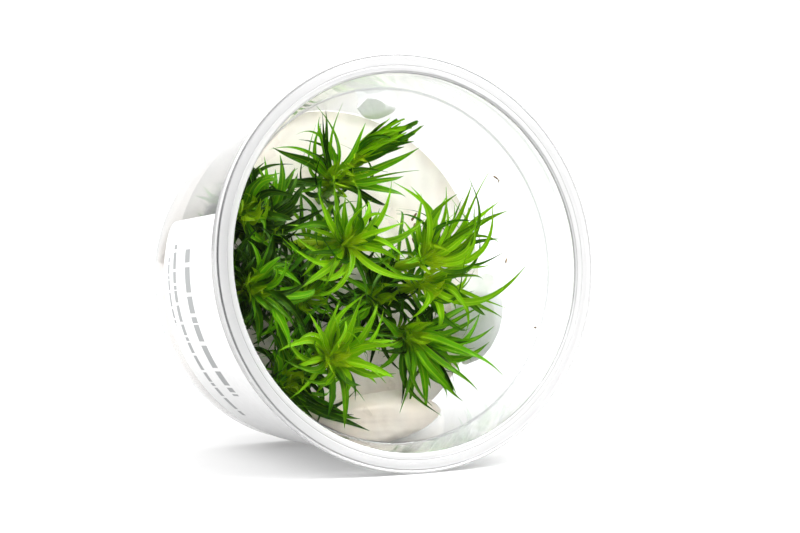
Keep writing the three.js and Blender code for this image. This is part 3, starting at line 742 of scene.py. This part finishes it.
def keep_inside(rings):
    """Shifts each ring of a bent blade as a whole, in four rounds, off the wall, the panel and the gel."""
    rings = rings.copy()
    for _ in range(4):
        depth = HEIGHT - rings[..., 2]
        reach = np.hypot(rings[..., 0], rings[..., 1])
        over = (reach - (wall_radius(depth) - WALL - LEAF_SKIN)).max(1).clip(0)
        outward = unit(rings[..., :2].mean(1))
        rings[..., :2] -= (over[:, None] * outward)[:, None]
        too_high = (PANEL_DEPTH + WALL + LEAF_SKIN - depth).max(1).clip(0)
        too_low = (depth - LOWEST_LEAF_DEPTH - LEAF_SKIN).max(1).clip(0)
        rings[..., 2] += (too_low - too_high)[:, None]
    return rings


def blade_frame(line, spine, t):
    """Which way is left and which is above at each place of a spine, for a blade that rolls a little."""
    tangent = unit(np.gradient(spine, axis=0))
    outward = line[2] - line[0]
    outward[2] = 0
    across = np.cross([0, 0, 1], unit(outward))
    level = unit(across - (tangent @ across)[:, None] * tangent)
    upward = -np.cross(level, tangent)
    roll = (rng.uniform(-0.5, 0.5) + rng.uniform(-0.9, 0.9) * t)[:, None]
    side = np.cos(roll) * level + np.sin(roll) * upward
    above = np.cos(roll) * upward - np.sin(roll) * level
    return across, side, above


class Leaves:
    """Gathers the blades and stems of one plantlet into one mesh."""

    def __init__(self):
        self.verts, self.faces, self.uv, self.tone = [], [], [], []
        self.count = 0

    def tube(self, rings, uv, tone):
        """Joins rings of points into a tube with closed ends."""
        stations, sides = rings.shape[:2]
        i = np.arange(stations - 1)[:, None]
        j = np.arange(sides)[None]
        k = (j + 1) % sides
        a, b = self.count + i * sides, self.count + (i + 1) * sides
        quads = np.stack([a + j, a + k, b + k, b + j], 2).reshape(-1, 4)
        self.faces.extend(quads.tolist())
        self.faces.append(list(range(self.count, self.count + sides))[::-1])
        last = self.count + (stations - 1) * sides
        self.faces.append(list(range(last, last + sides)))
        self.verts.append(rings.reshape(-1, 3))
        self.uv.append(uv.reshape(-1, 2))
        self.tone.append(tone.reshape(-1, 4))
        self.count += stations * sides

    def blade(self, line, width, young, shade_chance, curl=0.0, hook=0.0, blunt=0.0, tuck=0.0, bend=3.0):
        """Adds a channelled blade along a line. curl brings its tip down and hook turns it aside, on top of
        the line's own bow. tuck folds the end back under, and bend is how far the middle may sway."""
        t = np.linspace(0, 1, STATIONS) ** 0.9
        spine = along_curve(line, t)
        across, side, above = blade_frame(line, spine, t)

        swing = np.sin(math.pi * t)
        broad_sway = bend * rng.uniform(-1, 1) * swing
        phase = rng.uniform(0, 6.28)
        waves = rng.uniform(4, 8)
        sway = broad_sway + 0.3 * np.sin(phase + waves * t) * swing
        own_bow = float((line[1] - line[0] - MIDDLE_RUN * (line[2] - line[0])) @ unit(across))
        aside = sway + (hook - 1.1 * own_bow) * t ** 2.5
        fold = np.clip((t - FOLD_START) / (1 - FOLD_START), 0, 1) ** 2
        down = curl * t ** 3 + tuck * fold
        spine = spine + aside[:, None] * side - down[:, None] * above
        spine = spine - (0.6 * tuck * fold)[:, None] * unit(line[2] - line[1])

        strap = rng.uniform(1.8, 3.6)
        half = fine_half_width(t, BLADE_WIDTH * width, blunt, strap)[:, None]
        thick = LEAST_THICKNESS + 0.2 * half * (1 - t[:, None])
        channel = (0.75 - 0.3 * t)[:, None] * half
        lift = channel * (np.abs(ACROSS) ** 1.4 - 0.45) - (1 - UPPER) * thick * (1 - ACROSS ** 2)
        sideways = side[:, None] * (half * ACROSS)[:, :, None]
        rings = keep_inside(spine[:, None] + sideways + above[:, None] * lift[:, :, None])

        u = np.broadcast_to((ACROSS + 1) / 2, lift.shape)
        v = np.broadcast_to(t[:, None], lift.shape)
        tone = np.ones((*lift.shape, 4))
        tone[..., 0] = shade_chance
        tone[..., 1] = UPPER
        tone[..., 2] = young
        self.tube(rings, np.stack([u, v], 2), tone)

    def stem(self, hub, root, young):
        """Adds a stem. Its foot is sunk further than in the solids."""
        line = stem_line(hub, root)
        line[0, 2] -= GAP + GEL_RELIEF
        t = np.linspace(0, 1, STEM_STATIONS)
        spine = along_curve(line, t)
        turn = np.arange(STEM_SIDES) * 2 * math.pi / STEM_SIDES
        ribs = 1 + STEM_RIB_HEIGHT * np.sin(STEM_RIBS * turn + STEM_TWIST * t[:, None])
        size = (STEM_RADIUS * (1 - STEM_TAPER * t))[:, None] * ribs
        rings = np.repeat(spine[:, None], STEM_SIDES, 1)
        rings[..., 0] += size * np.cos(turn)
        rings[..., 1] += size * np.sin(turn)
        u = np.broadcast_to(turn / STEM_UV_TURN, size.shape)
        v = np.full(size.shape, STEM_UV_PLACE)
        tone = np.ones((*size.shape, 4))
        tone[..., 0] = 0.6
        tone[..., 2] = young
        self.tube(rings, np.stack([u, v], 2), tone)

    def finish(self, name, material):
        obj = make_object(name, lay(np.vstack(self.verts)), self.faces, 80, np.vstack(self.uv),
                          np.vstack(self.tone))
        obj.data.materials.append(material)
        return obj


def spare_leaf(main, spread):
    """A leaf close to one of the plantlet's main leaves, a little shorter and turned aside."""
    right, up, rise, arch, bow = main[:5]
    turn = rng.uniform(-0.5, 0.5) * spread
    size = 1 - rng.uniform(0, 0.4) * spread
    return (
        size * (right * math.cos(turn) - up * math.sin(turn)),
        size * (right * math.sin(turn) + up * math.cos(turn)),
        rise * size + rng.uniform(-3.5, 2.5),
        arch + rng.uniform(-1, 2),
        bow + rng.uniform(-6, 6) * spread,
    )


def under_leaf(hub, root):
    """An older leaf that leaves the stem below the crown: where it starts, and its run."""
    place = along_curve(stem_line(hub, root), [rng.uniform(0.2, 0.95)])[0]
    turn = rng.uniform(0, 2 * math.pi)
    run = rng.uniform(9, 19)
    return place, (run * math.cos(turn), run * math.sin(turn), rng.uniform(-2, 7), rng.uniform(1, 4),
                   rng.uniform(-6, 6))


def young_leaf(number):
    """One of the short leaves in the heart of a crown, from the inmost outwards."""
    turn = YOUNG_TURN * number
    reach = 1.6 + 0.45 * number
    return (reach * math.cos(turn), reach * math.sin(turn), 8.5 - 0.4 * number, 0.3, rng.uniform(-0.8, 0.8))


def place_main_leaves(hubs, stems):
    """Finds places for each plantlet's main leaves, clear of all stems and of the plantlets before it. Gives
    the leaves (line, width, chance) and the points that they take up."""
    settled, placed = {}, {}
    for name, plant in PLANTLETS.items():
        others = np.vstack([stems[o] for o in stems if o != name] + [placed[o] for o in placed])
        settled[name], taken = [], []
        for leaf in plant.leaves:
            width = leaf[5] if len(leaf) > 5 else plant.width
            found = settle(hubs[name], leaf, width, others, LEAF_CLEARANCE)
            if found:
                line, points = found
                settled[name].append((line, width, rng.uniform(0, 0.8)))
                taken.append(points)
        placed[name] = np.vstack(taken)
    return settled, placed


def more_leaves(name, plant, hub, others):
    """The spare and older leaves of a plantlet that find a clear place, as (line, width, chance)."""
    more = []
    for number in range(plant.spares + plant.unders):
        own = plant.width * rng.uniform(0.55, 0.95)
        spare = number < plant.spares
        if spare:
            main = plant.leaves[rng.integers(len(plant.leaves))]
            place, leaf = hub, spare_leaf(main, CLOSED_SPREAD if name == "closed" else 1)
        else:
            place, leaf = under_leaf(hub, plant.root)
        found = settle(place, leaf, own, others, SPARE_CLEARANCE, SPARE_SCALES, SPARE_SHIFTS)
        if found:
            # An older leaf under the crown draws a high shade_chance, so most of them take painted shade.
            more.append((found[0], own, rng.uniform(0 if spare else 0.6, 1)))
    return more


def shade(shade_chance, bright):
    """How much painted shade a leaf gets, from none to 1. Fewer leaves of a well lit plantlet get it."""
    return min(1.0, max(0.0, (shade_chance - 0.22 - 0.3 * bright) / 0.3))


def make_plantlets():
    hubs = {name: upright(plant.hub) for name, plant in PLANTLETS.items()}
    stems = {name: stem_samples(hubs[name], plant.root) for name, plant in PLANTLETS.items()}
    settled, placed = place_main_leaves(hubs, stems)
    for name, plant in PLANTLETS.items():
        hub, bright = hubs[name], plant.bright
        others = np.vstack([s for o, s in [*stems.items(), *placed.items()] if o != name])
        leaves = settled[name] + more_leaves(name, plant, hub, others)
        gather = Leaves()
        # A stem is paler the more painted light its plantlet gets.
        gather.stem(hub, plant.root, 0.3 * bright)
        for line, own, shade_chance in leaves:
            # depth is how far this leaf goes to the painted-shade colour.
            depth = shade(shade_chance, bright)
            tuck = rng.uniform(0, 3) if rng.uniform() < TUCKED_SHARE else 0.0
            hook = rng.uniform(-7, 7)
            if name == "closed":
                line[2] += (line[2] - line[1]) * rng.uniform(-0.35, 0.1) + CLOSED_LEAN
                gather.blade(line, CLOSED_WIDTH * own, 0.0, depth, rng.uniform(-1, 1),
                             rng.uniform(-1.5, 1.5), rng.uniform(0, 1), bend=CLOSED_BEND)
            else:
                gather.blade(line, own, 0.0, depth, rng.uniform(0, 3), hook, 0.0, tuck)
        for number in range(YOUNG_LEAVES):
            line = leaf_line(hub, young_leaf(number))
            gather.blade(line, YOUNG_WIDTH, 1.0 - 0.07 * number, 0.1)
        # A plantlet with little painted light takes the shaded copy of the leaf colours.
        leafy = gather.finish(name + "_leaves", LIT_LEAF if bright > 0.5 else SHADED_LEAF)
        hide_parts("plantlet_" + name)


# Cup, lid and label

def make_cup():
    inner = HEIGHT - WALL
    profile = rounded([
        (0, HEIGHT - BASE_STEP),
        (BASE_STEP_RADIUS, HEIGHT - BASE_STEP),
        (BASE_STEP_RADIUS + BASE_STEP, HEIGHT),
        (wall_radius(HEIGHT), HEIGHT),
        *[(wall_radius(depth), depth) for depth in WALL_RINGS],
        (CUP_TOP_RADIUS, CUP_TOP_DEPTH),
        (CUP_TOP_RADIUS, RIM_TOP_DEPTH + WALL),
        (RIM_LIP_RADIUS - WALL, RIM_TOP_DEPTH + WALL),
        (RIM_LIP_RADIUS - WALL, CUP_TOP_DEPTH),
        (RIM_LIP_RADIUS, CUP_TOP_DEPTH),
        (RIM_LIP_RADIUS, RIM_TOP_DEPTH),
        (CUP_TOP_RADIUS - WALL, RIM_TOP_DEPTH),
        (CUP_TOP_RADIUS - WALL, CUP_TOP_DEPTH),
        *[(wall_radius(depth) - WALL, depth) for depth in reversed(WALL_RINGS)],
        (BASE_RADIUS - WALL, inner),
        (BASE_STEP_RADIUS + BASE_STEP + GAP, inner),
        (BASE_STEP_RADIUS + GAP, inner - BASE_STEP),
        (0, inner - BASE_STEP),
    ], BASE_CHAMFER)
    verts, faces, _ = lathe(profile)
    # Painted shade: grey lines at the base's edge, its step and the top of the wall, and a wide grey band on
    # the left of the wall near the rim, where the shaded inside shows through.
    edges = [
        (BASE_RADIUS, HEIGHT, 0.8, 0.9, 0.5),
        (BASE_STEP_RADIUS, HEIGHT, 0.5, 0.4, 0.4),
        (CUP_TOP_RADIUS, CUP_TOP_DEPTH, 0.5, 0.5, 0.3),
        (wall_radius(13), 13, 10, 0.5, 0.0),
    ]
    cup = make_object("cup_shell", lay(verts), faces, tone=ring_shade(verts, edges))
    cup.data.materials.append(FROSTED)
    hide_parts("cup")


def make_lid():
    back = PANEL_DEPTH + WALL
    profile = rounded([
        (0, PANEL_DEPTH),
        (PANEL_RADIUS - PANEL_BEVEL, PANEL_DEPTH),
        (PANEL_RADIUS, PANEL_DEPTH),
        (PANEL_RADIUS + PANEL_FLARE, PANEL_DEPTH - PANEL_BEVEL),
        (LID_INNER_EDGE, LID_INNER_BEVEL_DEEP),
        (LID_INNER_EDGE + LID_INNER_BEVEL, 0),
        (FINE_GROOVE - FINE_GROOVE_SIZE, 0),
        (FINE_GROOVE, FINE_GROOVE_SIZE),
        (FINE_GROOVE + FINE_GROOVE_SIZE, 0),
        (LID_GROOVE - LID_GROOVE_HALF, 0),
        (LID_GROOVE, LID_GROOVE_DEEP),
        (LID_GROOVE + LID_GROOVE_HALF, 0),
        (LID_RADIUS - LID_ROUNDING, 0),
        (LID_RADIUS, LID_ROUNDING),
        (LID_RADIUS, LID_LIP_BACK),
        (SKIRT_RADIUS, LID_LIP_BACK),
        (SKIRT_RADIUS, SKIRT_DEPTH),
        (SKIRT_RADIUS - WALL, SKIRT_DEPTH),
        (SKIRT_RADIUS - WALL, LID_THICKNESS),
        (LID_INNER_EDGE + WALL, LID_THICKNESS),
        (PANEL_RADIUS + WALL, back),
        (PANEL_RADIUS - PANEL_BEVEL, back),
        (0, back),
    ], LID_ROUNDING)
    verts, faces, band = lathe(profile)
    # Painted shade: grey lines along the grooves and moulded edges, each as dark as listed to the left and
    # elsewhere, and a grey band across the middle of the flat rim on the left.
    edges = [
        (LID_GROOVE, 0.1, 0.3, 1.0, 0.15),
        (FINE_GROOVE, 0.1, 0.12, 0.15, 0.2),
        (LID_FLAT_MIDDLE, 0, 1.4, 0.3, 0.0),
        (LID_INNER_EDGE, LID_INNER_BEVEL_DEEP, 0.15, 0.0, 0.8),
        (LID_INNER_EDGE + LID_INNER_BEVEL, 0, 0.12, 0.0, 0.6),
        (PANEL_RADIUS, PANEL_DEPTH, 0.35, 0.6, 0.8),
        (SKIRT_RADIUS, SKIRT_DEPTH, 0.3, 0.35, 0.2),
        (LID_RADIUS, LID_LIP_BACK, 0.3, 0.4, 0.15),
    ]
    lid = make_object("lid_shell", lay(verts), faces, tone=ring_shade(verts, edges))
    lid.data.materials.append(CLEAR)
    lid.data.materials.append(MILKY)
    reach, depth = np.array(profile).T
    outside_recess = np.minimum(reach[:-1], reach[1:]) > LID_INNER_EDGE - 0.02
    off_panel = np.maximum(depth[:-1], depth[1:]) < MILKY_DEPTH
    milky = outside_recess & off_panel
    lid.data.polygons.foreach_set("material_index", milky[band].astype(int))
    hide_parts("lid")


def label_columns():
    """Places along the label, closer together at its rounded ends."""
    inner_end = LABEL_WIDTH - LABEL_CORNER
    return np.concatenate([
        np.linspace(0, LABEL_CORNER, LABEL_CORNER_COLUMNS),
        np.linspace(LABEL_CORNER, inner_end, LABEL_MIDDLE_COLUMNS)[1:-1],
        np.linspace(inner_end, LABEL_WIDTH, LABEL_CORNER_COLUMNS),
    ])


def make_label():
    columns = label_columns()
    inward = np.maximum(0, LABEL_CORNER - np.minimum(columns, LABEL_WIDTH - columns))
    cut = LABEL_CORNER - np.sqrt(LABEL_CORNER ** 2 - inward ** 2)
    rows = np.linspace(0, 1, LABEL_DOWN)
    depth = (LABEL_TOP_DEPTH + cut)[:, None] * (1 - rows) + (LABEL_BOTTOM_DEPTH - cut)[:, None] * rows
    turn = LABEL_MIDDLE + (columns[:, None] - LABEL_WIDTH / 2) / wall_radius(depth)
    layers = []
    for gap in LABEL_SKINS:
        r = wall_radius(depth) * ROUND + gap
        layers.append(np.stack([r * np.sin(turn), -r * np.cos(turn), HEIGHT - depth], 2).reshape(-1, 3))

    across, down = depth.shape
    skin = across * down
    faces = []
    for i in range(across - 1):
        for j in range(down - 1):
            a, b = i * down + j, (i + 1) * down + j
            faces.append((a, a + 1, b + 1, b))
            faces.append((skin + a, skin + b, skin + b + 1, skin + a + 1))
    rim = (
        [i * down for i in range(across)]
        + [(across - 1) * down + j for j in range(1, down)]
        + [i * down + down - 1 for i in range(across - 2, -1, -1)]
        + list(range(down - 2, 0, -1))
    )
    for a, b in zip(rim, rim[1:] + rim[:1]):
        faces.append((a, b, skin + b, skin + a))

    u = np.broadcast_to((columns / LABEL_WIDTH)[:, None], depth.shape)
    v = np.broadcast_to(rows, depth.shape)
    uv = np.stack([u, v], 2).reshape(-1, 2)
    label = make_object("label_sheet", lay(np.vstack(layers)), faces, uv=np.vstack([uv, uv]))
    label.data.materials.append(PAPER)
    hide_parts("label")


# Gel and dead bits

def room_radius(depth):
    return wall_radius(depth) - WALL - GEL_GAP


def make_gel():
    low = HEIGHT - BASE_CHAMFER - GEL_BEVEL
    floor = HEIGHT - BASE_STEP - WALL - GEL_GAP
    rim = room_radius(GEL_DEPTH)
    top = [(share * rim, GEL_DEPTH) for share in np.linspace(0, 1, GEL_RINGS)]
    profile = [(0, GEL_DEPTH), *top[1:], (room_radius(low), low), (GEL_FOOT_RADIUS, floor), (0, floor)]
    verts, faces, _ = lathe(profile)
    surface = verts[:, 2] > HEIGHT - GEL_DEPTH - 0.01
    x, y = verts[surface, 0], verts[surface, 1]
    off_wall = np.clip((rim - np.hypot(x, y)) / GEL_CLIMB_WIDTH, 0, 1)
    fine = 0.25 * wander(4 * x + 3, 4 * y, x) + 0.12 * wander(9 * x, 9 * y + 2, y)
    relief = (GEL_RELIEF * wander(x, y, 0) + fine) * off_wall
    verts[surface, 2] += relief + GEL_CLIMB * (1 - off_wall) ** 2
    gel = make_object("gel_disc", lay(verts), faces, 60)
    gel.data.materials.append(GEL)
    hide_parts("gel")


def make_lump(name, centre, size, rough, material, slot, detail=5):
    """A broken lump: a ball cut by random planes with softened edges, stretched, and kept inside the cup."""
    verts, faces = icosphere(detail)
    verts = verts * np.array(size, float)
    way = unit(verts / np.array(size, float))
    planes = unit(rng.normal(size=(LUMP_PLANES, 3)))
    cuts = rng.uniform(*LUMP_CUTS, LUMP_PLANES) / np.maximum(way @ planes.T, 0.05)
    nearest = np.sort(cuts, axis=1)[:, :2]
    softened = (nearest[:, 0] ** -LUMP_EDGE + nearest[:, 1] ** -LUMP_EDGE) ** (-1 / LUMP_EDGE)
    swell = np.minimum(1.12, softened * 1.06)
    x, y, z = verts.T
    fine = wander(7 * x, 6 * y, 8 * z) + 0.5 * wander(15 * y, 14 * z, 16 * x)
    swell += 0.12 * rough * fine / np.linalg.norm(verts, axis=1)
    verts = verts * swell[:, None] + upright(centre)

    depth = np.clip(HEIGHT - verts[:, 2], HIGHEST_LEAF_DEPTH, STEM_END_DEPTH + GAP)
    verts[:, 2] = HEIGHT - depth
    reach = np.hypot(verts[:, 0], verts[:, 1])
    room = (wall_radius(depth) - WALL) * ROUND - GEL_GAP
    verts[:, :2] *= np.minimum(1, room / np.maximum(reach, TINY))[:, None]
    lump = make_object(name + "_lump", lay(verts), faces, 30)
    lump.data.materials.append(material)
    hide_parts(name)


def make_bits():
    """Dead bits caught between the leaves, and grains stuck behind the lid's panel."""
    verts, faces = [], []
    for middle, way, length, thick in BITS:
        shape, ball_faces = icosphere(3)
        start = len(verts)
        faces.extend([start + i for i in face] for face in ball_faces)
        along = unit(np.array(way, float))
        x, y, z = (9 * shape).T
        shape = thick / 2 * shape * (1 + 0.3 * wander(x, y, z) + 0.2 * wander(2 * y, 2 * z, 2 * x))[:, None]
        shape += (length - thick) / thick * (shape @ along)[:, None] * along
        verts.extend((shape + upright(middle)).tolist())
    bits = make_object("dead_bits", lay(verts), faces, 60)
    bits.data.materials.append(DEAD)


# Surroundings

def make_sky():
    """A sky whose strength rises to the back and overhead, with soft lights in it."""
    world = bpy.data.worlds.new("studio")
    bpy.context.scene.world = world
    world.use_nodes = True
    tree = world.node_tree
    way = tree.nodes.new("ShaderNodeTexCoord").outputs["Generated"]
    split = tree.nodes.new("ShaderNodeSeparateXYZ")
    tree.links.new(way, split.inputs[0])

    def band(socket, low, high, start, end):
        """Goes smoothly from low to high while the socket goes from start to end."""
        step = tree.nodes.new("ShaderNodeMapRange")
        step.interpolation_type = "SMOOTHSTEP"
        for i, value in enumerate((start, end, low, high), 1):
            step.inputs[i].default_value = value
        tree.links.new(socket, step.inputs[0])
        return step.outputs[0]

    def plus(a, b):
        total = tree.nodes.new("ShaderNodeMath")
        total.operation = "ADD"
        tree.links.new(a, total.inputs[0])
        tree.links.new(b, total.inputs[1])
        return total.outputs[0]

    backward, overhead = split.outputs[1], split.outputs[2]
    sky = plus(band(backward, FRONT_SKY, SIDE_SKY, -0.4, 0.1), band(overhead, 0.0, TOP_SKY, 0.35, 0.85))
    for aim, reach, bright in SKY_LIGHTS:
        toward = tree.nodes.new("ShaderNodeVectorMath")
        toward.operation = "DOT_PRODUCT"
        tree.links.new(way, toward.inputs[0])
        toward.inputs[1].default_value = unit(np.array(aim))
        edge = math.radians(reach)
        start, end = math.cos(edge + SOFT_EDGE), math.cos(edge - SOFT_EDGE)
        sky = plus(sky, band(toward.outputs["Value"], 0.0, bright, start, end))
    background = tree.nodes["Background"]
    tree.links.new(sky, background.inputs["Strength"])
    background.inputs["Color"].default_value = grey(1)


def make_floor():
    mesh = bpy.data.meshes.new("floor")
    r = FLOOR_REACH
    mesh.from_pydata([(-r, -r, 0), (r, -r, 0), (r, r, 0), (-r, r, 0)], [], [(0, 1, 2, 3)])
    mesh.materials.append(floor_material())
    floor = bpy.data.objects.new("floor", mesh)
    bpy.context.collection.objects.link(floor)


def make_camera():
    camera = bpy.data.cameras.new("camera")
    camera.sensor_width = SENSOR_WIDTH
    camera.lens = LENS
    camera.clip_start = 0.01
    obj = bpy.data.objects.new("camera", camera)
    bpy.context.collection.objects.link(obj)
    obj.location = CAMERA_PLACE
    obj.rotation_euler = Vector(CAMERA_WAY).to_track_quat("-Z", "Y").to_euler()
    bpy.context.scene.camera = obj


make_camera()
make_sky()
make_floor()
make_cup()
make_lid()
make_label()
make_gel()
for name, (centre, size, rough) in CHUNKS.items():
    material = BROKEN_GEL if name == "gel_chunk_low" else THIN_GEL
    make_lump(name, centre, size, rough, material, "culture_gel")
make_lump("root_crown", *ROOT_CROWN, DEAD, "dead_crown", 4)
make_bits()
make_plantlets()

scene = bpy.context.scene
scene.view_settings.view_transform = "Standard"
scene.cycles.max_bounces = 24
scene.cycles.transmission_bounces = 16
scene.cycles.glossy_bounces = 8
scene.cycles.diffuse_bounces = 6
